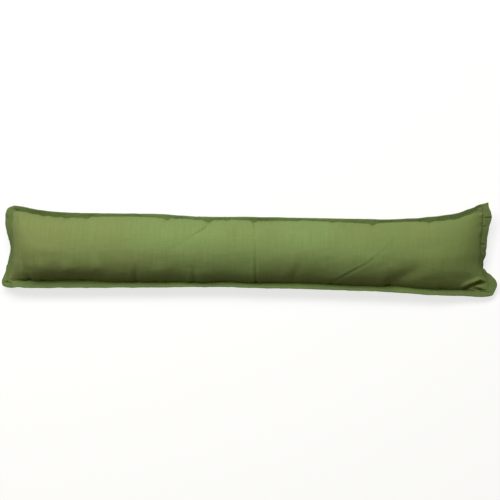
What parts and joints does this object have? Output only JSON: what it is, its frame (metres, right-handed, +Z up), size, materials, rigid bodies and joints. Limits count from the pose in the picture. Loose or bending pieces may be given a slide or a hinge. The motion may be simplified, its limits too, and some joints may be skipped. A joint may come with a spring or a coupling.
{
  "type": "draught excluder",
  "caption": "Long stuffed draught excluder in green woven cotton with a flat self-fabric edging, lying on its back ready to be set along the foot of a door",
  "frame": {"origin": "on the surface that it lies on, within 5 mm of the middle of the whole outline seen from above", "axes": "X along the length, the pointed far corner at +X; Y across, from the near long seam to the far one; Z up, out of the face"},
  "size_m": [0.8978, 0.1723, 0.0818],
  "materials": {
    "cover_cotton": "matt woven cotton, olive green",
    "strip_cotton": "matt woven cotton, olive green, folded double"
  },
  "bodies": {
    "root": {"filled_cover": "cover_cotton", "edge_strip": "strip_cotton"}
  },
  "joints": []
}
